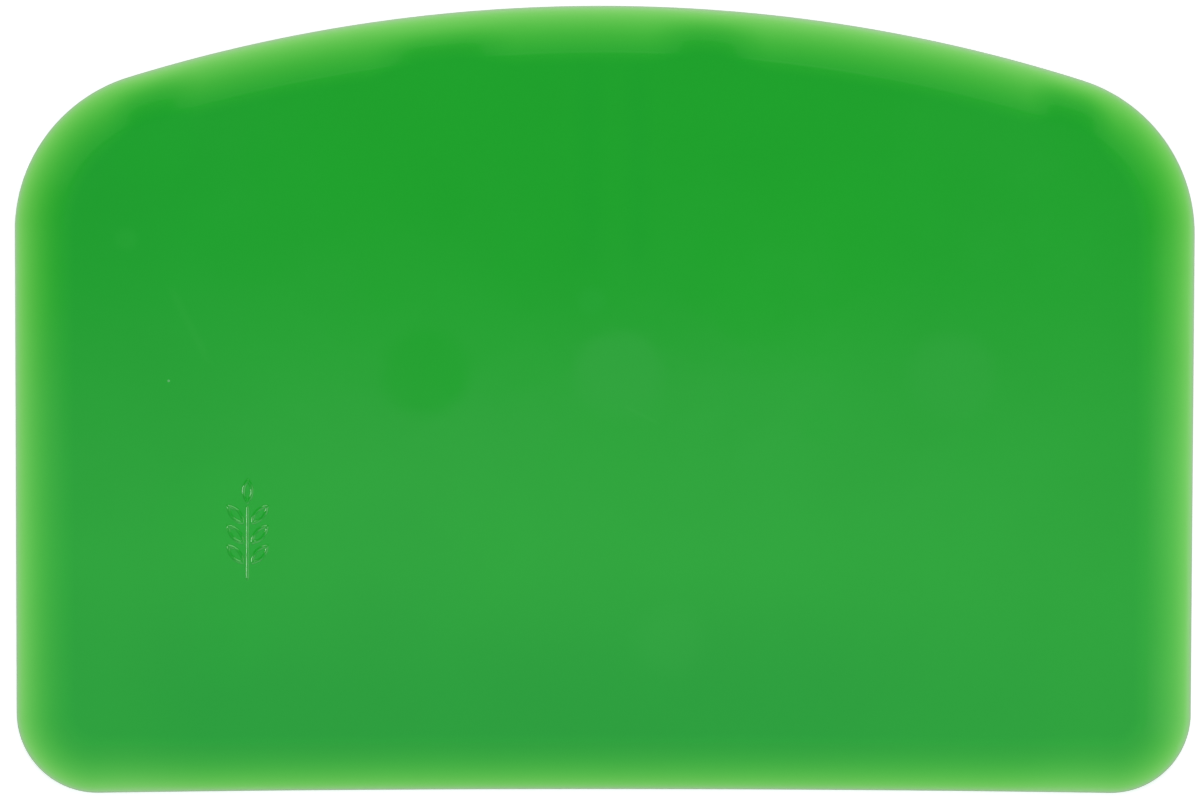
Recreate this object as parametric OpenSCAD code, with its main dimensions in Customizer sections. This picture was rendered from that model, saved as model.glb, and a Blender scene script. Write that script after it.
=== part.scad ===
// Bowl scraper: a flat D-shaped card moulded in one piece.
//
// The outline has eight stretches: the crown (the long curved scraping edge),
// two shoulders, two leaning sides, two heels, and the straight edge, which is
// very slightly hollow. One rim section follows all of them: a flat underside,
// a thin edge, and a bevel that rises to the full thickness.
// Lengths are in millimetres and angles in degrees. +X runs along the straight
// edge, +Y points to the crown, and the card lies with its underside at Z = 0,
// centred on the origin.

/* [Outline] */
// Overall width, across the shoulders
card_w = 147; // [120:1:165]
// Overall height, from the heels to the top of the crown
card_h = 98; // [84:1:112]
// Radius of the crown, the curved scraping edge
crown_r = 199; // [150:1:400]
// Radius of the two shoulders
shoulder_r = 20; // [14:0.5:26]
// Radius of the two heels, at the ends of the straight edge
heel_r = 10; // [8:0.5:13]
// Lean of the sides, which draw in towards the heels
side_lean = 0.35; // [0:0.05:2]
// Radius of the hollow in the straight edge
hollow_r = 4200; // [2500:100:9000]

/* [Rim] */
// Thickness of the card
plate_t = 2; // [1.6:0.1:3]
// Thickness of the card at its very edge
edge_t = 0.7; // [0.5:0.05:1.2]
// Width of the bevel from the edge to the full thickness
bevel_w = 5.8; // [3:0.1:7]
// Size of the small flats that take the sharpness off the edge
edge_break = 0.15; // [0.05:0.01:0.2]

/* [Wheat ear] */
// Distance from the left side to the middle of the ear
ear_from_side = 29; // [20:0.5:60]
// Distance from the heels to the foot of the ear
ear_from_base = 26.5; // [12:0.5:50]
// Number of pairs of grains
grain_pairs = 3; // [1:1:5]
// Length of a grain
grain_l = 3.2; // [2:0.1:4]
// Width of a grain
grain_w = 1.4; // [1.2:0.1:2]
// Angle between a grain and the stalk
grain_tilt = 42; // [30:1:60]
// Clear space between the raised lines of neighbouring grains
grain_gap = 0.25; // [0.15:0.05:0.5]
// Length of the stalk below the lowest pair
stalk_l = 2; // [1:0.1:5]
// Width of the raised lines
line_w = 0.35; // [0.2:0.05:0.5]
// Height of the raised lines above the face
relief = 0.15; // [0.05:0.01:0.3]

/* [Underside] */
// Diameter of the three ejector marks
ejector_d = 10.4; // [6:0.1:12]
// Distance from the heels to the row of ejector marks
ejector_from_base = 52; // [35:0.5:60]
// Distance of the left ejector mark from the middle of the card
ejector_left = 22.5; // [15:0.5:55]
// Distance of the right ejector mark from the middle of the card
ejector_right = 43; // [15:0.5:55]
// Diameter of the round line where a plain mould insert meets the mould
insert_d = 40; // [20:0.5:50]
// Width of the round line
insert_line_w = 0.3; // [0.15:0.05:0.5]
// Distance from the heels to the middle of the round line
insert_from_base = 42.5; // [35:0.5:50]
// Offset of the insert and the middle ejector mark from the middle of the card
insert_x = 1.5; // [-3:0.5:3]
// Depth of the marks on the underside
mark_depth = 0.08; // [0.03:0.01:0.2]

/* [Hidden] */

// Longest straight step when a circle is drawn with sides
arc_step = 2;
// How far a cutter reaches past what it cuts
past = 0.5;
// The shoulders and heels are drawn this much larger than circles that would only
// graze the stretches beside them, so that they cross them
cross = 0.02;
// How deep the raised lines are rooted in the card
root = 0.3;

// Each stretch of the outline touches its neighbours, so the centres of the arcs
// follow from the sizes above. They are measured from the middle of the heels' base.
crown_y = card_h - crown_r;
shoulder_touch = shoulder_r - cross;
shoulder_x = card_w / 2 - shoulder_touch;
shoulder_y = crown_y + sqrt(pow(crown_r - shoulder_touch, 2) - pow(shoulder_x, 2));
heel_touch = heel_r - cross;
heel_y = heel_touch;
heel_x = shoulder_x
    - ((shoulder_y - heel_y) * sin(side_lean) + heel_touch - shoulder_touch) / cos(side_lean);
hollow_reach = hollow_r + heel_touch;
hollow_y = heel_y - sqrt(pow(hollow_reach, 2) - pow(heel_x, 2));

// Directions in which the stretches meet, seen from the centres of the arcs
crown_turn = atan2(shoulder_y - crown_y, shoulder_x);
hollow_turn = asin(heel_x / hollow_reach);

// Rise of the bevel over its width
rise = (plate_t - edge_t) / bevel_w;

// Step from one pair of grains to the next, which keeps their gap
grain_step = (grain_w + grain_gap) / sin(grain_tilt);

// Number of sides that keeps every step of a drawn circle within arc_step
function sides(r) = max(96, ceil(2 * PI * r / arc_step));

// Line of the rim, from the underside to the face: x is the distance in from the
// edge and y the height. Its ends run on by the length over.
function rim(over) = [
    [edge_break + over, -over],
    [0, edge_break],
    [0, edge_t - edge_break],
    [edge_break, edge_t + rise * edge_break],
    [bevel_w + over, plate_t + rise * over]
];

// Section of the card from x = from, inside it, to its edge at x = at
module card_section(from, at)
    polygon(concat([[from, 0]], [for (p = rim(0)) [at - p.x, p.y]], [[from, plate_t]]));

// Section of what lies outside an edge at x = at, as far as x = to
module outside_section(at, to)
    polygon(concat(
        [[to, -past]],
        [for (p = rim(past)) [at + (to > at ? -p.x : p.x), p.y]],
        [[to, plate_t + rise * past]]
    ));

// Disc whose edge is the crown
module crown_disc()
    translate([0, crown_y, 0])
        rotate_extrude($fn = sides(crown_r))
            card_section(0, crown_r);

// Bar whose edge is the right side
module side_bar()
    translate([shoulder_x, shoulder_y, 0])
        rotate([90, 0, -side_lean])
            linear_extrude(2 * card_h, center = true)
                card_section(-2 * card_w, shoulder_touch);

// What is cut off along the hollow of the straight edge
module hollow_cut()
    translate([0, hollow_y, 0])
        rotate_extrude(angle = 4 * hollow_turn, start = 90 - 2 * hollow_turn, $fn = sides(hollow_r))
            outside_section(hollow_r, hollow_r - card_h);

// What is cut off round an outer corner of radius r, over an angle
module corner_cut(r, from, turn)
    rotate_extrude(angle = turn, start = from, $fn = sides(r))
        outside_section(r, 2 * r);

// What is cut off round the right shoulder and the right heel
module corner_cuts() {
    translate([shoulder_x, shoulder_y, 0])
        corner_cut(shoulder_r, -side_lean, side_lean + crown_turn);
    translate([heel_x, heel_y, 0])
        corner_cut(heel_r, -90 - hollow_turn, 90 + hollow_turn - side_lean);
}

// The card before its corners are rounded
module blank()
    difference() {
        intersection() {
            crown_disc();
            side_bar();
            mirror([1, 0, 0]) side_bar();
        }
        hollow_cut();
    }

// The whole card, with its bevel
module card()
    difference() {
        blank();
        corner_cuts();
        mirror([1, 0, 0]) corner_cuts();
    }

// Pointed oval that stands on its lower point, with a strip trimmed off all round
module grain_shape(trim) {
    r = (pow(grain_l, 2) + pow(grain_w, 2)) / (4 * grain_w);
    translate([0, grain_l / 2])
        intersection_for(s = [-1, 1])
            translate([s * (r - grain_w / 2), 0])
                circle(r - trim, $fn = 96);
}

// Outline of one grain
module grain()
    difference() {
        grain_shape(0);
        grain_shape(line_w);
    }

// Ear of wheat in raised lines, with the foot of its stalk at the origin
module wheat_ear() {
    top = stalk_l + grain_pairs * grain_step;
    translate([-line_w / 2, 0]) square([line_w, top - grain_gap]);
    translate([0, top]) grain();
    for (i = [0:grain_pairs - 1], s = [-1, 1])
        translate([s * (line_w / 2 + grain_gap), stalk_l + i * grain_step])
            rotate(-s * grain_tilt) grain();
}

// Shallow marks of the mould: its ejectors, and the round line of a plain insert
module mould_marks() {
    for (x = [-ejector_left, insert_x, ejector_right])
        translate([x, ejector_from_base]) circle(d = ejector_d, $fn = 96);
    translate([insert_x, insert_from_base])
        difference() {
            circle(d = insert_d, $fn = 180);
            circle(d = insert_d - 2 * insert_line_w, $fn = 180);
        }
}

module scraper_blade()
    color("limegreen")
        translate([0, -card_h / 2, 0]) {
            difference() {
                card();
                translate([0, 0, -past])
                    linear_extrude(past + mark_depth) mould_marks();
            }
            translate([ear_from_side - card_w / 2, ear_from_base, plate_t - root])
                linear_extrude(root + relief) wheat_ear();
        }

scraper_blade();
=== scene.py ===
"""Looks of a bowl scraper: one moulded card of translucent green plastic on a pale floor.

The card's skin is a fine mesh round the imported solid: the bevelled rim follows the outline
in rings, the wheat ear stands on the face and the marks of the mould lie in the underside.
"""

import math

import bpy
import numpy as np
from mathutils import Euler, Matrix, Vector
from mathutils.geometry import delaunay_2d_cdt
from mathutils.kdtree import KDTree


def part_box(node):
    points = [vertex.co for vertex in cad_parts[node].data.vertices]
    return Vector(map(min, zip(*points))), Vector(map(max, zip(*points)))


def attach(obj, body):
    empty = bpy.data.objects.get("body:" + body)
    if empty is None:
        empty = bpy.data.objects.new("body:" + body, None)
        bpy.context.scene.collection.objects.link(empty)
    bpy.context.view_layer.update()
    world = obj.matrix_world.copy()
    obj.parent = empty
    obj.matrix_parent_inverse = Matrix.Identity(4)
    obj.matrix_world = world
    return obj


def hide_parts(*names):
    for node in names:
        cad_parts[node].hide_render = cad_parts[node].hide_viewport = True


bl_info = {
    "name": "Bowl scraper",
    "version": (1, 0, 0),
    "blender": (4, 5, 0),
    "location": "3D View > Sidebar > Bowl scraper",
    "description": "Makes a moulded plastic bowl scraper and the studio that it lies in",
    "category": "Object",
}

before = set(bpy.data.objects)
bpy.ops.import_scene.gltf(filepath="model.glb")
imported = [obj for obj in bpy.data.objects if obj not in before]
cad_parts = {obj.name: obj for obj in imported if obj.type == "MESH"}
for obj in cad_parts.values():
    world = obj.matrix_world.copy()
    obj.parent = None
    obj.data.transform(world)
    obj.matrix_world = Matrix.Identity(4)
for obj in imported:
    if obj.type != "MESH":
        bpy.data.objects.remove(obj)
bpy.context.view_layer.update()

NODE = "scraper_blade"
LOW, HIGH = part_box(NODE)
MM = 0.001

# Height of the ear's raised lines, which stand on the card's own thickness
RELIEF = 0.15 * MM

# The floor lies this far below the card, so that the two surfaces never coincide
FLOOR_GAP = 0.02 * MM


def length(name, description, default, least=0.0):
    """A size of the object or the studio, in metres."""
    return bpy.props.FloatProperty(
        name=name, description=description, default=default, min=least, unit="LENGTH", precision=5
    )


def angle(name, description, degrees):
    """An angle, kept in radians."""
    return bpy.props.FloatProperty(
        name=name, description=description, default=math.radians(degrees), subtype="ANGLE"
    )


def number(name, description, default, least=0.0):
    """A plain number."""
    return bpy.props.FloatProperty(
        name=name, description=description, default=default, min=least, precision=4
    )


def colour(name, description, default):
    """A colour in linear light."""
    return bpy.props.FloatVectorProperty(
        name=name, description=description, default=default, size=3, min=0, soft_max=1, subtype="COLOR"
    )


class BladeSizes(bpy.types.PropertyGroup):
    """Sizes of the card"""

    width: length("Width", "Overall width, across the shoulders", HIGH.x - LOW.x)
    height: length("Height", "Overall height, from the heels to the crown", HIGH.y - LOW.y)
    crown_radius: length("Crown radius", "Radius of the curved scraping edge", 199 * MM)
    shoulder_radius: length("Shoulder radius", "Radius of the two shoulders", 20 * MM)
    heel_radius: length("Heel radius", "Radius of the two heels", 10 * MM)
    side_lean: angle("Side lean", "Lean of the sides towards the heels", 0.35)
    hollow_radius: length("Hollow radius", "Radius of the hollow in the straight edge", 4200 * MM)
    thickness: length("Thickness", "Thickness of the card", HIGH.z - RELIEF)
    edge_thickness: length("Edge thickness", "Thickness at the very edge", 0.7 * MM)
    bevel_width: length("Bevel width", "Width of the bevel round the face", 5.8 * MM)
    edge_rounding: length("Edge rounding", "Reach of the rounding at the edge", 0.15 * MM)
    crease_rounding: length("Crease rounding", "Reach of the rounding between bevel and face", 0.4 * MM)
    warp: length("Warp", "Depth of the slow waves in the face", 0.03 * MM)


class EarSizes(bpy.types.PropertyGroup):
    """Sizes of the raised wheat ear"""

    from_side: length("From side", "Distance from the left side to the stalk", 29 * MM)
    from_base: length("From base", "Distance from the heels to the foot of the stalk", 26.5 * MM)
    pairs: bpy.props.IntProperty(name="Pairs", description="Number of pairs of grains", default=3, min=1)
    grain_length: length("Grain length", "Length of a grain", 3.2 * MM)
    grain_width: length("Grain width", "Width of a grain", 1.4 * MM)
    grain_tilt: angle("Grain tilt", "Angle between a grain and the stalk", 42)
    gap: length("Gap", "Clear space between the lines of neighbouring grains", 0.25 * MM)
    stalk: length("Stalk", "Length of the stalk below the lowest pair", 2 * MM)
    line: length("Line", "Width of the raised lines", 0.35 * MM)
    skirt: length("Skirt", "How far the foot of a raised line spreads on each side", 0.06 * MM)
    relief: length("Relief", "Height of the raised lines", RELIEF)


class MarkSizes(bpy.types.PropertyGroup):
    """Sizes of the shallow marks that the mould leaves"""

    ejector_diameter: length("Ejector diameter", "Diameter of the ejector marks", 10.4 * MM)
    ejector_from_base: length("Ejector from base", "Distance from the heels to the ejector marks", 52 * MM)
    ejector_left: length("Left ejector", "Distance of the left ejector mark from the middle", 22.5 * MM)
    ejector_right: length("Right ejector", "Distance of the right ejector mark from the middle", 43 * MM)
    insert_diameter: length("Insert diameter", "Diameter of the insert's round line", 40 * MM)
    insert_line: length("Insert line", "Width of the insert's round line", 0.3 * MM)
    insert_from_base: length("Insert from base", "Distance from the heels to its middle", 42.5 * MM)
    insert_offset: length("Insert offset", "Distance of the insert from the middle", 1.5 * MM)
    insert_dish: length("Insert dish", "Depth of the slight dish in the face above the insert", 0.025 * MM)
    depth: length("Depth", "Depth of the marks", 0.08 * MM)


class PlasticLooks(bpy.types.PropertyGroup):
    """Colours and finish of the green plastic"""

    deep_green: colour("Deep green", "Colour where the card is thick", (0.0075, 0.368, 0.0188))
    rim_glow: colour("Rim glow", "What the thin rim adds to the deep green", (0.279, 0.345, 0.163))
    clearness: colour("Clearness", "Share of the glow left after each millimetre", (0.60, 0.77, 0.53))
    glow_reach: length("Glow reach", "Distance from the edge at which the glow ends", 7.4 * MM)
    side_glow: colour("Side glow", "Share of the glow along the sides", (0.89, 0.96, 0.80))
    heel_glow: colour("Heel glow", "Share of the glow along the straight edge", (0.78, 0.95, 0.58))
    frost: colour("Frost", "Colour of the frosted outermost edge", (0.37, 0.50, 0.34))
    frost_reach: length("Frost reach", "Distance over which the frost fades", 0.25 * MM)
    cloudiness: number("Cloudiness", "How unevenly the pigment is spread", 0.010)
    # Heel shade, middle light and side shade are painted shade and light on the face, standing in for how
    # the lamps light it
    painted_heel_shade: number("Heel shade", "How much green the card loses towards the heels", 0.035)
    painted_middle_light: number("Middle light", "How much green the card gains below its middle", 0.008)
    painted_side_shade: number("Side shade", "How much green the card loses towards the left", 0.013)
    clean: number("Clean roughness", "Roughness of the clean face", 0.095)
    smudged: number("Smudged roughness", "Roughness where the face is smudged", 0.125)
    handled: number("Handled roughness", "Extra roughness of the face at left and right", 0.042)
    ear_softness: number("Ear softness", "How much clear plastic softens the shading of the ear", 0.45)
    ripple: length("Ripple", "Height of the faint ripple in the moulded surface", 0.005 * MM)


class StudioSettings(bpy.types.PropertyGroup):
    """Camera, floor and lights"""

    view_width: length("View width", "Width of the picture, measured on the floor", 149.55 * MM)
    view_x: length("View X", "Middle of the picture, along the straight edge", -0.724 * MM, -1)
    view_y: length("View Y", "Middle of the picture, towards the crown", -0.09 * MM, -1)
    view_turn: angle("View turn", "Turn of the camera about its line of sight", 0.1145)
    view_swing: angle("View swing", "How far the camera swings to the left from straight above", 1.55)
    camera_distance: length("Camera distance", "Distance from the middle of the picture", 0.75)
    floor_size: length("Floor size", "Side of the floor", 12)
    key_power: number("Key", "Power of the lamp behind the crown, in watts", 6.3)
    front_power: number("Front", "Power of the lamp before the heels, in watts", 2.4)
    left_power: number("Left", "Power of the small lamp on the left, in watts", 2.6)
    right_power: number("Right", "Power of the wide lamp on the right, in watts", 3.0)
    panel_power: number("Panel", "Power of the dim panel overhead, in watts", 4.4)
    back_power: number("Back", "Power of the dim panel behind the crown, in watts", 0.5)
    room_light: number("Room", "Light that comes from the room all round", 0.18)


class ScraperSettings(bpy.types.PropertyGroup):
    """All settings of the bowl scraper"""

    blade: bpy.props.PointerProperty(type=BladeSizes)
    ear: bpy.props.PointerProperty(type=EarSizes)
    marks: bpy.props.PointerProperty(type=MarkSizes)
    plastic: bpy.props.PointerProperty(type=PlasticLooks)
    studio: bpy.props.PointerProperty(type=StudioSettings)


# Outline


def outline_arcs(blade):
    """Arcs of the outline, anticlockwise from the right heel.

    Each is (centre, radius, first direction, last direction), where a direction points out
    of the card. The hollow bends the other way, so its radius is negative. Straight sides
    run between the arcs. Heights are measured from the heels.
    """
    lean = blade.side_lean
    shoulder, heel, crown = blade.shoulder_radius, blade.heel_radius, blade.crown_radius
    crown_y = blade.height - crown
    shoulder_x = blade.width / 2 - shoulder
    shoulder_y = crown_y + math.sqrt((crown - shoulder) ** 2 - shoulder_x ** 2)
    drawn_in = (shoulder_y - heel) * math.sin(lean) + heel - shoulder
    heel_x = shoulder_x - drawn_in / math.cos(lean)
    hollow_reach = blade.hollow_radius + heel
    hollow_y = heel - math.sqrt(hollow_reach ** 2 - heel_x ** 2)
    crown_turn = math.atan2(shoulder_y - crown_y, shoulder_x)
    hollow_turn = math.asin(heel_x / hollow_reach)
    half, down = math.pi, 1.5 * math.pi
    return [
        ((heel_x, heel), heel, -half / 2 - hollow_turn, -lean),
        ((shoulder_x, shoulder_y), shoulder, -lean, crown_turn),
        ((0, crown_y), crown, crown_turn, half - crown_turn),
        ((-shoulder_x, shoulder_y), shoulder, half - crown_turn, half + lean),
        ((-heel_x, heel), heel, half + lean, down + hollow_turn),
        ((0, hollow_y), -blade.hollow_radius, down + hollow_turn, down - hollow_turn),
    ]


def outline(blade, step=1.0 * MM, turn=math.radians(3.75)):
    """Points of the outline in the card's frame, and the direction out of the card at each."""
    places, directions = [], []
    for centre, radius, first, last in outline_arcs(blade):
        count = max(math.ceil(abs(radius * (last - first)) / step), math.ceil(abs(last - first) / turn))
        turns = np.linspace(first, last, count + 1)
        ways = np.column_stack([np.cos(turns), np.sin(turns)])
        along = np.array(centre) + radius * ways
        if places:
            gap = along[0] - places[-1][-1]
            more = math.ceil(np.linalg.norm(gap) / step)
            if more > 1:
                shares = np.arange(1, more)[:, None] / more
                places.append(places[-1][-1] + shares * gap)
                directions.append(np.repeat(ways[:1], more - 1, axis=0))
        places.append(along[:-1])
        directions.append(ways[:-1])
    places, directions = np.vstack(places), np.vstack(directions)
    return places + (0, (LOW.y + HIGH.y) / 2 - blade.height / 2), directions


def rounded(corners, reaches, steps=4, longest=0.7 * MM):
    """Line through corners, with each inner corner rounded over its reach on both sides."""
    line = [np.array(corners[0])]
    for before, corner, after, reach in zip(corners, corners[1:], corners[2:], reaches, strict=False):
        corner = np.array(corner)
        start = corner + reach * unit(before - corner)
        end = corner + reach * unit(after - corner)
        line += spaced(line.pop(), start, longest)
        for t in np.linspace(0, 1, steps + 1)[1:]:
            line.append((1 - t) ** 2 * start + 2 * t * (1 - t) * corner + t ** 2 * end)
    return line + spaced(line.pop(), np.array(corners[-1]), longest)


def unit(way):
    """A direction with a length of one."""
    return way / np.linalg.norm(way)


def spaced(start, end, longest):
    """Points from start to end, no further apart than longest."""
    count = math.ceil(np.linalg.norm(end - start) / longest)
    return [start + (end - start) * i / count for i in range(count + 1)]


def rim_line(blade, inside=1.2 * MM, support=0.1 * MM):
    """Section of the rim as (distance from the edge, height), from the underside to the face."""
    edge, crease = blade.edge_rounding, blade.crease_rounding
    corners = [
        (edge + inside, 0),
        (edge + support, 0),
        (0, 0),
        (0, blade.edge_thickness),
        (blade.bevel_width, blade.thickness),
        (blade.bevel_width + crease + support, blade.thickness),
        (blade.bevel_width + inside, blade.thickness),
    ]
    return rounded(corners, [support / 2, edge, edge, crease, support / 2])


# Mesh


class Skin:
    """Points and faces of a piece as they are gathered, with each point's distance from the edge."""

    def __init__(self):
        self.points, self.depths, self.faces = [], [], []

    def add(self, flat, heights, depths):
        """Adds points and returns their numbers."""
        first = len(self.points)
        heights, depths = np.broadcast_to(heights, len(flat)), np.broadcast_to(depths, len(flat))
        self.points += [(x, y, z) for (x, y), z in zip(flat, heights, strict=True)]
        self.depths += list(depths)
        return list(range(first, len(self.points)))

    def bridge(self, ring, following):
        """Joins two rings of as many points with faces of four sides."""
        for i in range(len(ring)):
            j = (i + 1) % len(ring)
            self.faces.append((ring[i], ring[j], following[j], following[i]))

    def mesh(self, name):
        """The finished mesh, smoothly shaded."""
        mesh = bpy.data.meshes.new(name)
        mesh.from_pydata(self.points, [], self.faces)
        mesh.validate()
        mesh.shade_smooth()
        depth = mesh.attributes.new("edge_depth", "FLOAT", "POINT")
        depth.data.foreach_set("value", np.array(self.depths, np.float32) / MM)
        return mesh


def tree_of(flat):
    """Tree that finds the nearest of some flat points."""
    tree = KDTree(len(flat))
    for i, (x, y) in enumerate(flat):
        tree.insert((x, y, 0), i)
    tree.balance()
    return tree


def nearest(tree, flat):
    """Distance from each flat point to the nearest one in a tree."""
    return np.array([tree.find((x, y, 0))[2] for x, y in flat])


def lattice(ring, ways, fixed, spacing, apart=0.6, inwards=0.4):
    """Even lattice of points inside a ring, clear of the ring and of the fixed points.

    How far apart from the fixed points and how far inwards of the ring is a share of the spacing.
    """
    low, high = ring.min(0), ring.max(0)
    rows = np.arange(low[1], high[1], spacing * math.sqrt(3) / 2)
    columns = np.arange(low[0], high[0], spacing)
    flat = np.array([(x + spacing / 2 * (i % 2), y) for i, y in enumerate(rows) for x in columns])
    tree, ring_tree = tree_of(fixed), tree_of(ring)
    clear = nearest(tree, flat) > apart * spacing
    found = [ring_tree.find((x, y, 0))[1] for x, y in flat]
    inside = np.einsum("ij,ij->i", flat - ring[found], ways[found]) < -inwards * spacing
    return flat[clear & inside]


def fill(ring, ways, loops, spacing):
    """Triangles that fill a ring and follow the closed loops in it.

    Returns flat points and triangles. The points are those of the ring, then those of the
    loops, then those of a lattice with the given spacing.
    """
    fixed = np.vstack([ring, *loops])
    flat = np.vstack([fixed, lattice(ring, ways, fixed, spacing)])
    edges, first = [], len(ring)
    for loop in loops:
        edges += [(first + i, first + (i + 1) % len(loop)) for i in range(len(loop))]
        first += len(loop)
    inside_only, tolerance = 1, 1e-9
    border = [list(range(len(ring)))]
    found = delaunay_2d_cdt([Vector(p) for p in flat], edges, border, inside_only, tolerance)
    triangles, sources = found[2], found[3]
    return flat, [[sources[corner][0] for corner in triangle] for triangle in triangles]


def fade(x, low, high):
    """Smooth rise from 0 at low to 1 at high."""
    t = np.clip((x - low) / (high - low), 0, 1)
    return t * t * (3 - 2 * t)


# Slow waves of the face: wavelengths along X and Y, share of the depth, and start in radians
WAVES = (
    (61 * MM, 52 * MM, 0.45, 0.9),
    (-37 * MM, 44 * MM, 0.3, 2.2),
    (90 * MM, -33 * MM, 0.25, 4.4),
)


def mark_places(blade, marks):
    """Middles of the three ejector marks, from left to right, and of the insert."""
    row = marks.ejector_from_base - blade.height / 2
    ejectors = [(x, row) for x in (-marks.ejector_left, marks.insert_offset, marks.ejector_right)]
    return ejectors, (marks.insert_offset, marks.insert_from_base - blade.height / 2)


def sunk(blade, marks, flat, depths, rise=8 * MM):
    """How far the face lies below its nominal height at some flat points.

    Slow waves run over it, and are full a rise inside the crease. It is slightly dished above
    the insert.
    """
    x, y = flat[:, 0], flat[:, 1]
    waves = sum(
        share * np.sin(2 * math.pi * (x / long + y / wide) + start)
        for long, wide, share, start in WAVES
    )
    started = blade.bevel_width + blade.crease_rounding
    lowered = blade.warp * (1 + waves) / 2 * fade(depths, started, started + rise)
    _, insert = mark_places(blade, marks)
    out = np.linalg.norm(flat - insert, axis=1) / (marks.insert_diameter / 2)
    return lowered + marks.insert_dish * np.clip(1 - out ** 2, 0, 1)


def circle(centre, radius, count):
    """Closed loop of points on a circle."""
    turns = np.arange(count) * 2 * math.pi / count
    return np.array(centre) + radius * np.column_stack([np.cos(turns), np.sin(turns)])


def grain_loop(ear, trim, steps=16):
    """Pointed oval that stands on its lower point, with a strip trimmed off all round."""
    radius = (ear.grain_length ** 2 + ear.grain_width ** 2) / (4 * ear.grain_width)
    off = radius - ear.grain_width / 2
    turn = math.acos(off / (radius - trim))
    turns = np.linspace(-turn, turn, steps + 1)[:-1]
    side = (radius - trim) * np.column_stack([np.cos(turns), np.sin(turns)]) - (off, 0)
    return np.vstack([side, -side]) + (0, ear.grain_length / 2)


def stalk_loop(ear, trim, tall, steps=6):
    """Outline of the stalk, a bar with round ends, trimmed all round."""
    radius = ear.line / 2 - trim
    turns = np.linspace(0, math.pi, steps + 1)
    cap = radius * np.column_stack([np.cos(turns), np.sin(turns)])
    top, foot = np.array([-radius, tall - ear.line / 2]), np.array([-radius, ear.line / 2])
    sides = spaced(top, foot, 0.5 * MM)[1:-1]
    half = np.vstack([cap + (0, tall - ear.line / 2), sides])
    return np.vstack([half, (0, tall) - half])


def turned(flat, turn):
    """Flat points turned about the origin."""
    c, s = math.cos(turn), math.sin(turn)
    return flat @ np.array([[c, s], [-s, c]])


def ear_loops(blade, ear, steps=12, support=0.025 * MM):
    """Loops along the raised lines of the wheat ear, each with its height above the face.

    A flat support loop lies beside each foot of a line, so that the face stays evenly shaded.
    """
    rise = (ear.grain_width + ear.gap) / math.sin(ear.grain_tilt)
    top = ear.stalk + ear.pairs * rise
    grains = [((0, top), 0)]
    for i in range(ear.pairs):
        for side in (-1, 1):
            foot = (side * (ear.line / 2 + ear.gap), ear.stalk + i * rise)
            grains.append((foot, -side * ear.grain_tilt))
    place = np.array([ear.from_side - blade.width / 2, ear.from_base - blade.height / 2])
    across = ear.line + 2 * ear.skirt
    section = [
        (across * i / steps, (1 - math.cos(2 * math.pi * i / steps)) / 2)
        for i in range(steps + 1)
    ]
    section = [(-support, 0), *section, (across + support, 0)]
    loops = []
    for step_in, share in section:
        trim = step_in - ear.skirt
        for foot, turn in grains:
            loops.append((turned(grain_loop(ear, trim), turn) + foot + place, share * ear.relief))
        # The stalk is one solid line, so its loops end before they would close up at its middle
        if step_in < 0.49 * across:
            loops.append((stalk_loop(ear, trim, top - ear.gap) + place, share * ear.relief))
    return loops


def mark_loops(blade, marks, wall=0.06 * MM, ejector_points=96, insert_points=240):
    """Loops round the marks in the underside, each with its depth."""
    ejectors, insert = mark_places(blade, marks)
    loops = []
    for place in ejectors:
        radius = marks.ejector_diameter / 2
        for out, share in ((1, 0), (0, 0), (-0.5, 0.5), (-1, 1), (-2, 1)):
            loop = circle(place, radius + out * wall, ejector_points)
            loops.append((loop, share * marks.depth))
    outer = marks.insert_diameter / 2
    inner = outer - marks.insert_line
    for radius, share in (
        (outer + wall, 0),
        (outer, 0),
        (outer - wall, 1),
        (inner + wall, 1),
        (inner, 0),
        (inner - wall, 0),
    ):
        loops.append((circle(insert, radius, insert_points), share * marks.depth))
    return loops


def blade_mesh(blade, ear, marks, face_spacing=0.75 * MM, underside_spacing=1.6 * MM):
    """Skin of the whole card: the rim in rings, then the face and the underside in triangles."""
    edge, ways = outline(blade)
    edge_tree = tree_of(edge)
    skin = Skin()
    rings = [skin.add(edge - depth * ways, height, depth) for depth, height in rim_line(blade)]
    for ring, following in zip(rings, rings[1:], strict=False):
        skin.bridge(ring, following)
    for ring, loops, base, spacing in (
        (rings[-1], ear_loops(blade, ear), blade.thickness, face_spacing),
        (rings[0], mark_loops(blade, marks), 0, underside_spacing),
    ):
        around = np.array([skin.points[i][:2] for i in ring])
        flat, triangles = fill(around, ways, [loop for loop, _ in loops], spacing)
        rise = np.zeros(len(flat))
        first = len(ring)
        for loop, height in loops:
            rise[first:first + len(loop)] = height
            first += len(loop)
        inner = flat[len(ring):]
        depths = nearest(edge_tree, inner)
        lowered = sunk(blade, marks, inner, depths) if base else 0
        numbers = ring + skin.add(inner, base + rise[len(ring):] - lowered, depths)
        for triangle in triangles:
            corners = [numbers[i] for i in triangle]
            skin.faces.append(corners if base else corners[::-1])
    return skin.mesh("moulded_card")


# Shader nodes


def put(tree, kind, *inputs, output=0, **settings):
    """Adds a node, sets it up, and gives its inputs in order. An input is a socket, a value or None."""
    node = tree.nodes.new(kind)
    for name, value in settings.items():
        setattr(node, name, value)
    for socket, value in zip((s for s in node.inputs if s.enabled), inputs, strict=False):
        if isinstance(value, bpy.types.NodeSocket):
            tree.links.new(value, socket)
        elif value is not None:
            socket.default_value = value
    outputs = [s for s in node.outputs if s.enabled]
    return outputs[output]


def maths(tree, operation, *inputs):
    """A Math node."""
    return put(tree, "ShaderNodeMath", *inputs, operation=operation)


def times(tree, first, *others):
    """Product of two or more values."""
    for other in others:
        first = maths(tree, "MULTIPLY", first, other)
    return first


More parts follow.
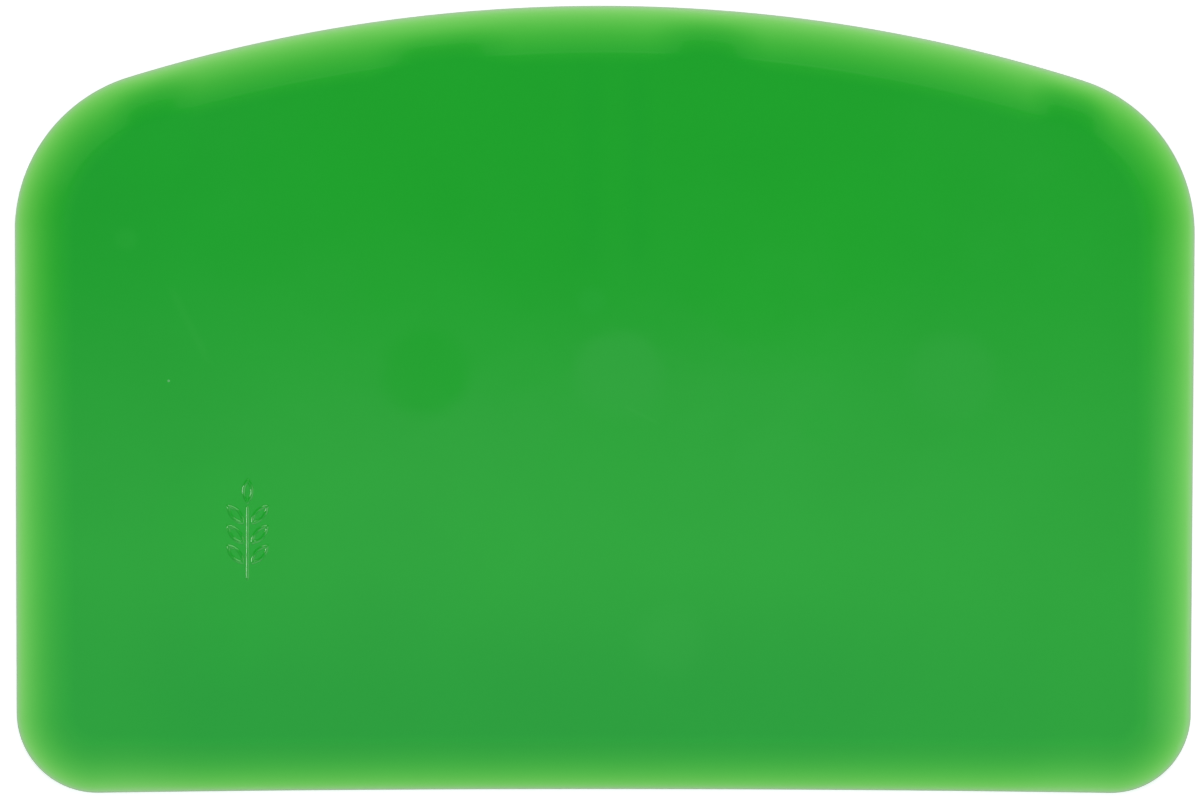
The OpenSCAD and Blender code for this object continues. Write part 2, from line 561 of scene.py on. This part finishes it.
def vectors(tree, operation, *inputs):
    """A Vector Math node."""
    return put(tree, "ShaderNodeVectorMath", *inputs, operation=operation)


def smooth(tree, value, low, high, to_low=0.0, to_high=1.0):
    """Smooth change from one value at low to another at high."""
    return put(
        tree, "ShaderNodeMapRange", value, low, high, to_low, to_high, interpolation_type="SMOOTHSTEP"
    )


def noise(tree, place, scale, detail=2.0, rough=0.5):
    """Soft noise. The scale is how many patches there are to a unit of length."""
    return put(tree, "ShaderNodeTexNoise", place, scale, detail, rough)


def mixed(tree, factor, first, second):
    """Mixes two colours."""
    return put(tree, "ShaderNodeMix", factor, first, second, data_type="RGBA")


def added(tree, base, mask, change):
    """Adds a change, which may be negative, to a colour where a mask is 1."""
    return vectors(tree, "MULTIPLY_ADD", mask, change, base)


def group(name, inputs, output):
    """An empty node group. Returns its tree, its given sockets by name, and the socket of its result."""
    tree = bpy.data.node_groups.new(name, "ShaderNodeTree")
    for label, kind, default in inputs:
        socket = tree.interface.new_socket(label, in_out="INPUT", socket_type=kind)
        socket.default_value = default
    tree.interface.new_socket(output, in_out="OUTPUT", socket_type="NodeSocketFloat")
    given = tree.nodes.new("NodeGroupInput").outputs
    return tree, given, tree.nodes.new("NodeGroupOutput").inputs[output]


def use(tree, node_group, *inputs):
    """Places a node group and gives its inputs in order."""
    node = tree.nodes.new("ShaderNodeGroup")
    node.node_tree = node_group
    for socket, value in zip(node.inputs, inputs, strict=True):
        if isinstance(value, bpy.types.NodeSocket):
            tree.links.new(value, socket)
        else:
            socket.default_value = value
    return node.outputs[0]


def spot_group():
    """Soft round spot: 1 inside, 0 outside."""
    tree, given, result = group(
        "soft_spot",
        [
            ("Place", "NodeSocketVector", (0, 0, 0)),
            ("Middle", "NodeSocketVector", (0, 0, 0)),
            ("Radius", "NodeSocketFloat", 5),
            ("Softness", "NodeSocketFloat", 1),
        ],
        "Mask",
    )
    away = vectors(tree, "DISTANCE", given["Place"], given["Middle"])
    half = times(tree, given["Softness"], 0.5)
    low = maths(tree, "SUBTRACT", given["Radius"], half)
    high = maths(tree, "ADD", given["Radius"], half)
    tree.links.new(smooth(tree, away, low, high, 1.0, 0.0), result)
    return tree


def streak_group():
    """Soft straight streak from a point, the way of a turn. It fades at its sides and ends."""
    tree, given, result = group(
        "soft_streak",
        [
            ("Place", "NodeSocketVector", (0, 0, 0)),
            ("Start", "NodeSocketVector", (0, 0, 0)),
            ("Turn", "NodeSocketFloat", 0),
            ("Length", "NodeSocketFloat", 5),
            ("Half width", "NodeSocketFloat", 0.5),
        ],
        "Mask",
    )
    away = vectors(tree, "SUBTRACT", given["Place"], given["Start"])
    back = times(tree, given["Turn"], -1)
    own = put(tree, "ShaderNodeVectorRotate", away, None, back, rotation_type="Z_AXIS")
    split = put(tree, "ShaderNodeSeparateXYZ", own).node.outputs
    across = smooth(tree, maths(tree, "ABSOLUTE", split["Y"]), 0.0, given["Half width"], 1.0, 0.0)
    share = maths(tree, "DIVIDE", split["X"], given["Length"])
    from_middle = maths(tree, "ABSOLUTE", maths(tree, "SUBTRACT", share, 0.5))
    along = smooth(tree, from_middle, 0.3, 0.5, 1.0, 0.0)
    tree.links.new(times(tree, across, along), result)
    return tree


# Plastic


# Where slow changes over the card begin and where they are full, in millimetres from its middle:
# first along Y, then along X, then in both directions along X
CROWN = (28.0, 36.0)
BELOW_THE_MIDDLE = (-2.0, -25.0)
ABOVE_THE_HEELS = (-18.0, -38.0)
STRAIGHT_EDGE = (-36.0, -44.0)
UP_THE_LEFT = (-45.0, 15.0)
TO_THE_LEFT = (-25.0, -60.0)
TO_THE_RIGHT = (20.0, 50.0)
TO_THE_SIDES = (52.0, 68.0)
INTO_THE_CORNERS = (48.0, 62.0)
CROWN_HIGHLIGHT_FADES = (30.0, 54.0)
HANDLED = (18.0, 56.0)

# The same over the distance from the edge, and over the height above the underside
INNER_RIM = (2.8, 4.6)
ONTO_THE_FACE = (4.8, 7.0)
INSIDE_THE_CREASE = (6.5, 7.0)
ABOVE_THE_EDGE = (0.3, 0.6)
UPPER_HALF = (1.0, 1.5)

# The painted highlight along the crease lies this far outside it, in millimetres, and adds this colour
CREASE_HIGHLIGHT_OUTWARDS = 0.05
CREASE_HIGHLIGHT_COLOUR = (0.005, 0.009, 0.005)

DUST_COLOUR = (0.10, 0.42, 0.12, 1)

# What frost and dust add to the roughness
DULL_ROUGHNESS = 0.4

# Faint spots in the face: middle and radius in millimetres, and what each adds to the colour
# The wider patches are painted light and shade: lighter or darker where the lamps' light and the overhead
# panel's reflection fall unevenly on the face
SPOTS = (
    ((-1.9, 12.3, 0), 1.6, (0.002, 0.006, 0.004)),
    ((-59.6, 19.8, 0), 1.3, (0.003, 0.010, 0.003)),
    ((26.3, -3.2, 0), 2.0, (-0.002, 0.001, -0.002)),
    ((24, 15, 0), 12, (0.0005, 0.009, 0)),
    ((-47, 15, 0), 9, (0, 0.007, 0)),
    ((-48, -14, 0), 6, (0, 0.009, 0)),
    ((-47, -30, 0), 5, (0, 0.009, 0)),
    ((-27, -21, 0), 9, (-0.001, -0.009, 0)),
    ((-57, 33, 0), 6, (0, 0.010, 0)),
    ((8, -30, 0), 4, (0.003, 0.008, 0.003)),
)

# Faint streaks in the face: start in millimetres, direction in degrees, length and half
# width in millimetres, and what each adds to the colour
STREAKS = (
    ((-2.2, 44, 0), -90, 30, 2.8, (-0.001, -0.006, 0.0)),
    ((3.9, 44, 0), -90, 30, 2.6, (-0.001, -0.007, 0.0)),
    ((-54.6, 14.8, 0), -63, 12.5, 0.9, (0.003, 0.006, 0.003)),
    ((2.0, -0.7, 0), -27, 5.6, 0.4, (0.003, 0.006, 0.003)),
)

# Places on the crown where the painted glow of the rim is cut short, a painted shade, in millimetres:
# middle along X, radius, softness, how much deeper in the plastic they look, and the depth from which they
# do
DIM_RIM_PLACES = (
    (-56.5, 3.5, 6.0, 1.5, 0.5),
    (-20.5, 6.0, 8.0, 1.45, 1.6),
    (12.6, 4.4, 7.5, 1.6, 0.5),
    (58.0, 3.5, 5.0, 1.9, 0.5),
)

# Lean of the face above the ejector marks, from left to right, in degrees
EJECTOR_LEANS = (0.45, -0.5, -0.5)


def dim_rim_places(tree, along, crown, depth, spot, rise=3.2):
    """Places on the crown where the painted glow of the rim is cut short, a painted shade.

    Returns a mask that is 1 in their middle and 0 outside, and how much deeper they look. The
    extra depth comes in over the rise, in millimetres.
    """
    place = put(tree, "ShaderNodeCombineXYZ", along)
    thick, deeper = 0.0, 0.0
    for middle, radius, softness, extra, start in DIM_RIM_PLACES:
        mask = times(tree, crown, use(tree, spot, place, (middle, 0, 0), radius, softness))
        thick = maths(tree, "MAXIMUM", mask, thick)
        further = smooth(tree, depth, start, start + rise, 0.0, extra)
        deeper = maths(tree, "MULTIPLY_ADD", mask, further, deeper)
    return thick, deeper


def rim_colours(tree, plastic, depth, sides, heels, sooner=1.07):
    """What light through the thin rim adds to the colour. It fades inwards, red sooner than green.

    At the straight edge it all fades sooner, by the given factor.
    """
    reach = plastic.glow_reach / MM
    left_at_reach = [share ** reach for share in plastic.clearness]
    gain = [glow / (1 - rest) for glow, rest in zip(plastic.rim_glow, left_at_reach, strict=True)]
    solid = times(tree, depth, smooth(tree, heels, 0.0, 1.0, 1.0, sooner))
    shallow = maths(tree, "MINIMUM", solid, reach)
    left = put(tree, "ShaderNodeGamma", (*plastic.clearness, 1), shallow)
    glow = vectors(tree, "MULTIPLY", vectors(tree, "SUBTRACT", left, left_at_reach), gain)
    share = mixed(tree, sides, (1, 1, 1, 1), (*plastic.side_glow, 1))
    share = mixed(tree, heels, share, (*plastic.heel_glow, 1))
    return vectors(tree, "MULTIPLY", glow, share)


def painted_crease_highlight(tree, flat, depth, place, half_width=0.2):
    """Painted highlight along the crease between bevel and face: a thin lighter line, stronger in some
    places.
    """
    away = maths(tree, "ABSOLUTE", maths(tree, "SUBTRACT", depth, place))
    line = smooth(tree, away, 0.0, half_width, 1.0, 0.0)
    patches = noise(tree, flat, 0.07, 3.0, 0.6)
    return times(tree, line, smooth(tree, patches, 0.35, 0.6, 0.4, 1.0))


def dust(tree, flat, cell=9.0, least=0.82, radius=0.2):
    """Sparse specks of dust, none or one in each cell. Sizes are in millimetres."""
    found = put(tree, "ShaderNodeTexVoronoi", flat, 1 / cell).node.outputs
    chance = put(tree, "ShaderNodeSeparateColor", found["Color"])
    size = put(tree, "ShaderNodeMapRange", chance, least, 1.0, 0.0, radius / cell)
    return maths(tree, "LESS_THAN", found["Distance"], size)


def in_world(tree, direction):
    """A direction in the card's frame, brought into the world."""
    return put(
        tree, "ShaderNodeVectorTransform", direction,
        vector_type="VECTOR", convert_from="OBJECT", convert_to="WORLD",
    )


def surface_normal(tree, blade, marks, spot, flat, level, softness=3.2):
    """Normal of the surface.

    Where level is 1 it is the face's own. Above an ejector mark it leans a little, over the
    left one back and over the other two forward, with a soft border in millimetres.
    """
    own = tree.nodes.new("ShaderNodeNewGeometry").outputs["Normal"]
    normal = put(tree, "ShaderNodeMix", level, own, in_world(tree, (0, 0, 1)), data_type="VECTOR")
    ejectors, _ = mark_places(blade, marks)
    radius = marks.ejector_diameter / 2 / MM
    for (x, y), lean in zip(ejectors, EJECTOR_LEANS, strict=True):
        mask = use(tree, spot, flat, (x / MM, y / MM, 0), radius, softness)
        leaning = in_world(tree, (0, math.tan(math.radians(lean)), 0))
        normal = vectors(tree, "MULTIPLY_ADD", mask, leaning, normal)
    return vectors(tree, "NORMALIZE", normal)


def rippled(tree, flat, normal, height):
    """A normal with the faint ripple that the mould leaves."""
    node = tree.nodes.new("ShaderNodeBump")
    node.inputs["Distance"].default_value = height
    tree.links.new(noise(tree, flat, 0.25), node.inputs["Height"])
    tree.links.new(normal, node.inputs["Normal"])
    return node.outputs["Normal"]


def pigment(tree, plastic, flat, along, up, from_middle):
    """Deep green of the card, a little cloudy, with painted light and shade over the face."""
    least, most = 1 - plastic.cloudiness, 1 + plastic.cloudiness
    cloud = smooth(tree, noise(tree, flat, 0.06, 3.0), 0.3, 0.7, least, most)
    base = vectors(tree, "SCALE", tuple(plastic.deep_green), cloud)
    # Painted shade towards the left
    left = times(tree, smooth(tree, along, *TO_THE_LEFT), smooth(tree, up, *UP_THE_LEFT, 0.55, 1.25))
    base = added(tree, base, left, (-0.0015, -plastic.painted_side_shade, 0))
    # Painted light below the middle
    base = added(tree, base, smooth(tree, up, *BELOW_THE_MIDDLE), (0, plastic.painted_middle_light, 0))
    # Painted shade towards the heels, less at the right and in the corners
    low = times(
        tree,
        smooth(tree, up, *ABOVE_THE_HEELS),
        smooth(tree, along, *TO_THE_RIGHT, 1.0, 0.6),
        smooth(tree, from_middle, *INTO_THE_CORNERS, 1.0, 0.6),
    )
    return added(tree, base, low, (-0.006, -plastic.painted_heel_shade, -0.001))


def spotted(tree, base, flat, spot, streak):
    """A colour with the faint spots and streaks of the face, and with the wide patches of painted light
    and shade.
    """
    for middle, radius, change in SPOTS:
        base = added(tree, base, use(tree, spot, flat, middle, radius, radius), change)
    for start, turn, long, half_width, change in STREAKS:
        mask = use(tree, streak, flat, start, math.radians(turn), long, half_width)
        base = added(tree, base, mask, change)
    return base


def roughness(tree, plastic, flat, from_middle, depth, dull):
    """Roughness: smudged in patches, handled at the left and right, and more where it is dull."""
    smudge = noise(tree, flat, 0.045, 4.0, 0.6)
    rough = smooth(tree, smudge, 0.4, 0.65, plastic.clean, plastic.smudged)
    handled = times(tree, smooth(tree, from_middle, *HANDLED), smooth(tree, depth, *ONTO_THE_FACE))
    rough = maths(tree, "MULTIPLY_ADD", handled, plastic.handled, rough)
    return maths(tree, "MULTIPLY_ADD", dull, DULL_ROUGHNESS, rough)


def levelled(tree, plastic, height, depth, thick, frosted, at_frost=0.6):
    """How far the normal is levelled to the face's own, from 0 to 1.

    It is levelled at the dim places of the rim, in part at the frosted edge, and in part inside the
    crease, which softens the shading of the ear. On the underside it stays as it is.
    """
    inner_rim = times(tree, thick, smooth(tree, depth, *INNER_RIM))
    rim = maths(tree, "MAXIMUM", inner_rim, times(tree, frosted, at_frost))
    rim = times(tree, rim, smooth(tree, height, *ABOVE_THE_EDGE))
    face = smooth(tree, depth, *INSIDE_THE_CREASE, 0.0, plastic.ear_softness)
    face = times(tree, face, smooth(tree, height, *UPPER_HALF))
    return maths(tree, "MAXIMUM", rim, face)


def green_plastic(plastic, blade, marks):
    """Translucent green plastic: light through the thin rim is painted into its colour, with painted light
    and shade over the face and a painted highlight along the crease; it has faint streaks, smudges and
    dust.
    """
    material = bpy.data.materials.new("green_plastic")
    material.use_nodes = True
    tree = material.node_tree
    spot, streak = spot_group(), streak_group()
    coords = tree.nodes.new("ShaderNodeTexCoord").outputs["Object"]
    place = vectors(tree, "MULTIPLY", coords, (1 / MM, 1 / MM, 1 / MM))
    flat = vectors(tree, "MULTIPLY", place, (1, 1, 0))
    split = put(tree, "ShaderNodeSeparateXYZ", place).node.outputs
    along, up, height = split["X"], split["Y"], split["Z"]
    from_middle = maths(tree, "ABSOLUTE", along)
    depth = put(tree, "ShaderNodeAttribute", attribute_name="edge_depth", output=2)

    base = pigment(tree, plastic, flat, along, up, from_middle)
    base = spotted(tree, base, flat, spot, streak)

    crown = smooth(tree, up, *CROWN)
    # Dim places on the crown: a painted shade, where the painted glow of the rim is cut short and its
    # shading levelled
    thick, deeper = dim_rim_places(tree, along, crown, depth, spot)
    sides = smooth(tree, from_middle, *TO_THE_SIDES)
    heels = times(
        tree, smooth(tree, up, *STRAIGHT_EDGE), smooth(tree, from_middle, *INTO_THE_CORNERS, 1.0, 0.2)
    )
    # Painted light: the glow of the thin rim, where light passes through the plastic
    glow = rim_colours(tree, plastic, maths(tree, "ADD", depth, deeper), sides, heels)
    base = vectors(tree, "ADD", base, glow)
    # Painted highlight: a thin lighter line along the crease on the crown, where the rounded crease
    # catches the light
    highlight_line = times(
        tree,
        painted_crease_highlight(tree, flat, depth, blade.bevel_width / MM - CREASE_HIGHLIGHT_OUTWARDS),
        maths(tree, "SUBTRACT", 1.0, thick),
        crown,
        smooth(tree, from_middle, *CROWN_HIGHLIGHT_FADES, 1.0, 0.3),
    )
    base = added(tree, base, highlight_line, CREASE_HIGHLIGHT_COLOUR)
    frosted = maths(tree, "EXPONENT", times(tree, depth, -MM / plastic.frost_reach))
    base = mixed(tree, frosted, base, (*plastic.frost, 1))
    specks = dust(tree, flat)
    base = mixed(tree, specks, base, DUST_COLOUR)

    shader = tree.nodes["Principled BSDF"]
    tree.links.new(base, shader.inputs["Base Color"])
    dull = maths(tree, "MAXIMUM", frosted, specks)
    tree.links.new(roughness(tree, plastic, flat, from_middle, depth, dull), shader.inputs["Roughness"])
    level = levelled(tree, plastic, height, depth, thick, frosted)
    normal = surface_normal(tree, blade, marks, spot, flat, level)
    tree.links.new(rippled(tree, flat, normal, plastic.ripple), shader.inputs["Normal"])
    return material


# Stage


def lamp(name, place, target, size, power, tint=(1, 1, 1)):
    """Soft rectangular lamp that faces a target. The camera doesn't see it."""
    data = bpy.data.lights.new(name, "AREA")
    data.shape, data.size, data.size_y = "RECTANGLE", *size
    data.energy, data.color = power, tint
    lamp_object = bpy.data.objects.new(name, data)
    lamp_object.location = place
    lamp_object.rotation_euler = (Vector(target) - Vector(place)).to_track_quat("-Z", "Y").to_euler()
    lamp_object.visible_camera = False
    bpy.context.scene.collection.objects.link(lamp_object)


def white_seen(tree):
    """1 for rays that come from the camera, a reflection or a clear material."""
    path = tree.nodes.new("ShaderNodeLightPath").outputs
    seen = maths(tree, "MAXIMUM", path["Is Camera Ray"], path["Is Glossy Ray"])
    return maths(tree, "MAXIMUM", seen, path["Is Transmission Ray"])


# Two colours of the floor's fine grain, pinkish so that with the green glow they look white where the
# lamps reach, and the colour that it keeps in deep shadow: a painted green tint of the shadow, standing in
# for light through the green card
PAPER_COLOURS = ((0.69, 0.54, 0.69, 1), (0.71, 0.56, 0.71, 1))
SHADOW_COLOUR = (0.50, 0.66, 0.50, 1)

# Distance from the card's middle over which the floor turns plain white, in metres
PLAIN_WHITE_FROM = (0.15, 0.6)


def floor_material():
    """Pale floor that looks white, and is clear from below.

    It keeps shadows near the card, with a painted green tint, as those of clear green plastic have.
    """
    material = bpy.data.materials.new("pale_floor")
    material.use_nodes = True
    tree = material.node_tree
    tree.nodes.remove(tree.nodes["Principled BSDF"])
    surface = tree.nodes["Material Output"].inputs["Surface"]
    grain = noise(tree, None, 40.0)
    paper = mixed(tree, smooth(tree, grain, 0.3, 0.7), *PAPER_COLOURS)
    diffuse = put(tree, "ShaderNodeBsdfDiffuse", paper)
    away = vectors(tree, "LENGTH", tree.nodes.new("ShaderNodeTexCoord").outputs["Object"])
    # Near the card the floor glows green for the camera, a painted tint of the card's shadow; further off
    # it glows plain white
    lit = mixed(tree, smooth(tree, away, *PLAIN_WHITE_FROM), SHADOW_COLOUR, (1, 1, 1, 1))
    glow = put(tree, "ShaderNodeEmission", lit, white_seen(tree))
    both = put(tree, "ShaderNodeAddShader", diffuse, glow)
    behind = tree.nodes.new("ShaderNodeNewGeometry").outputs["Backfacing"]
    clear = put(tree, "ShaderNodeBsdfTransparent")
    tree.links.new(put(tree, "ShaderNodeMixShader", behind, both, clear), surface)
    return material


def room(studio):
    """White room for the camera, dim room for the light."""
    world = bpy.data.worlds.new("pale_room")
    world.use_nodes = True
    tree = world.node_tree
    background = tree.nodes["Background"]
    seen = tree.nodes.new("ShaderNodeLightPath").outputs["Is Camera Ray"]
    strength = smooth(tree, seen, 0.0, 1.0, studio.room_light, 1.0)
    tree.links.new(strength, background.inputs["Strength"])
    background.inputs["Color"].default_value = (1, 1, 1, 1)
    bpy.context.scene.world = world


def studio_lamps(studio):
    """Lamps on all four sides, and two dim panels whose reflections lie on the face.

    Each has its place, what it faces, and its size, in metres.
    """
    middle = (0, 0, 0)
    lamp("key_lamp", (0.1, 0.85, 0.75), middle, (1.0, 0.5), studio.key_power)
    lamp("front_lamp", (0, -0.85, 0.75), middle, (1.0, 0.5), studio.front_power)
    lamp("left_lamp", (-0.85, 0.05, 0.65), middle, (0.35, 0.2), studio.left_power)
    lamp("right_lamp", (0.9, -0.1, 0.8), middle, (0.8, 0.5), studio.right_power)
    above = (0, -0.586, 1.2)
    lamp("overhead_panel", above, (*above[:2], 0), (1.8, 1.2), studio.panel_power, (0.75, 0.85, 1.0))
    behind = (0, 0.65, 1.3)
    lamp("back_panel", behind, (*behind[:2], 0), (1.6, 0.7), studio.back_power)


# Operators


class BOWLSCRAPER_OT_blade(bpy.types.Operator):
    """Make the moulded card with its bevelled rim, wheat ear and mould marks"""

    bl_idname = "bowlscraper.blade"
    bl_label = "Scraper card"

    def execute(self, context):
        settings = context.scene.bowl_scraper
        mesh = blade_mesh(settings.blade, settings.ear, settings.marks)
        mesh.materials.append(green_plastic(settings.plastic, settings.blade, settings.marks))
        card = bpy.data.objects.new("moulded_card", mesh)
        context.scene.collection.objects.link(card)
        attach(card, "root")
        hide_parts(NODE)
        return {"FINISHED"}


class BOWLSCRAPER_OT_stage(bpy.types.Operator):
    """Make the floor, the lamps, the room and the camera"""

    bl_idname = "bowlscraper.stage"
    bl_label = "Studio"

    def execute(self, context):
        studio = context.scene.bowl_scraper.studio
        scene = context.scene
        scene.view_settings.view_transform = "Standard"

        bpy.ops.mesh.primitive_plane_add(size=studio.floor_size, location=(0, 0, -FLOOR_GAP))
        floor = context.object
        floor.name = "floor"
        floor.data.materials.append(floor_material())
        studio_lamps(studio)
        room(studio)

        camera = bpy.data.cameras.new("camera")
        camera.sensor_width = 36
        camera.lens = camera.sensor_width * studio.camera_distance / studio.view_width
        camera.clip_end = 20
        camera_object = bpy.data.objects.new("camera", camera)
        turn = Euler((0, -studio.view_swing, studio.view_turn))
        back = turn.to_matrix() @ Vector((0, 0, studio.camera_distance))
        camera_object.location = Vector((studio.view_x, studio.view_y, 0)) + back
        camera_object.rotation_euler = turn
        scene.collection.objects.link(camera_object)
        scene.camera = camera_object
        return {"FINISHED"}


class BOWLSCRAPER_PT_panel(bpy.types.Panel):
    """Sizes, looks and studio of the bowl scraper"""

    bl_label = "Bowl scraper"
    bl_idname = "BOWLSCRAPER_PT_panel"
    bl_space_type = "VIEW_3D"
    bl_region_type = "UI"
    bl_category = "Bowl scraper"

    def draw(self, context):
        settings = context.scene.bowl_scraper
        for title, sizes in (
            ("Card", settings.blade),
            ("Wheat ear", settings.ear),
            ("Mould marks", settings.marks),
            ("Plastic", settings.plastic),
            ("Studio", settings.studio),
        ):
            box = self.layout.box()
            box.label(text=title)
            for name in sizes.bl_rna.properties.keys():
                if name not in ("rna_type", "name"):
                    box.prop(sizes, name)
        self.layout.operator(BOWLSCRAPER_OT_blade.bl_idname)
        self.layout.operator(BOWLSCRAPER_OT_stage.bl_idname)


CLASSES = (
    BladeSizes,
    EarSizes,
    MarkSizes,
    PlasticLooks,
    StudioSettings,
    ScraperSettings,
    BOWLSCRAPER_OT_blade,
    BOWLSCRAPER_OT_stage,
    BOWLSCRAPER_PT_panel,
)


def register():
    """Makes the classes and the scene's settings known."""
    for each in CLASSES:
        bpy.utils.register_class(each)
    bpy.types.Scene.bowl_scraper = bpy.props.PointerProperty(type=ScraperSettings)


def unregister():
    """Takes the settings and the classes away again."""
    del bpy.types.Scene.bowl_scraper
    for each in reversed(CLASSES):
        bpy.utils.unregister_class(each)


def main():
    """Makes the scene."""
    register()
    bpy.ops.bowlscraper.blade()
    bpy.ops.bowlscraper.stage()


if __name__ == "__main__":
    main()
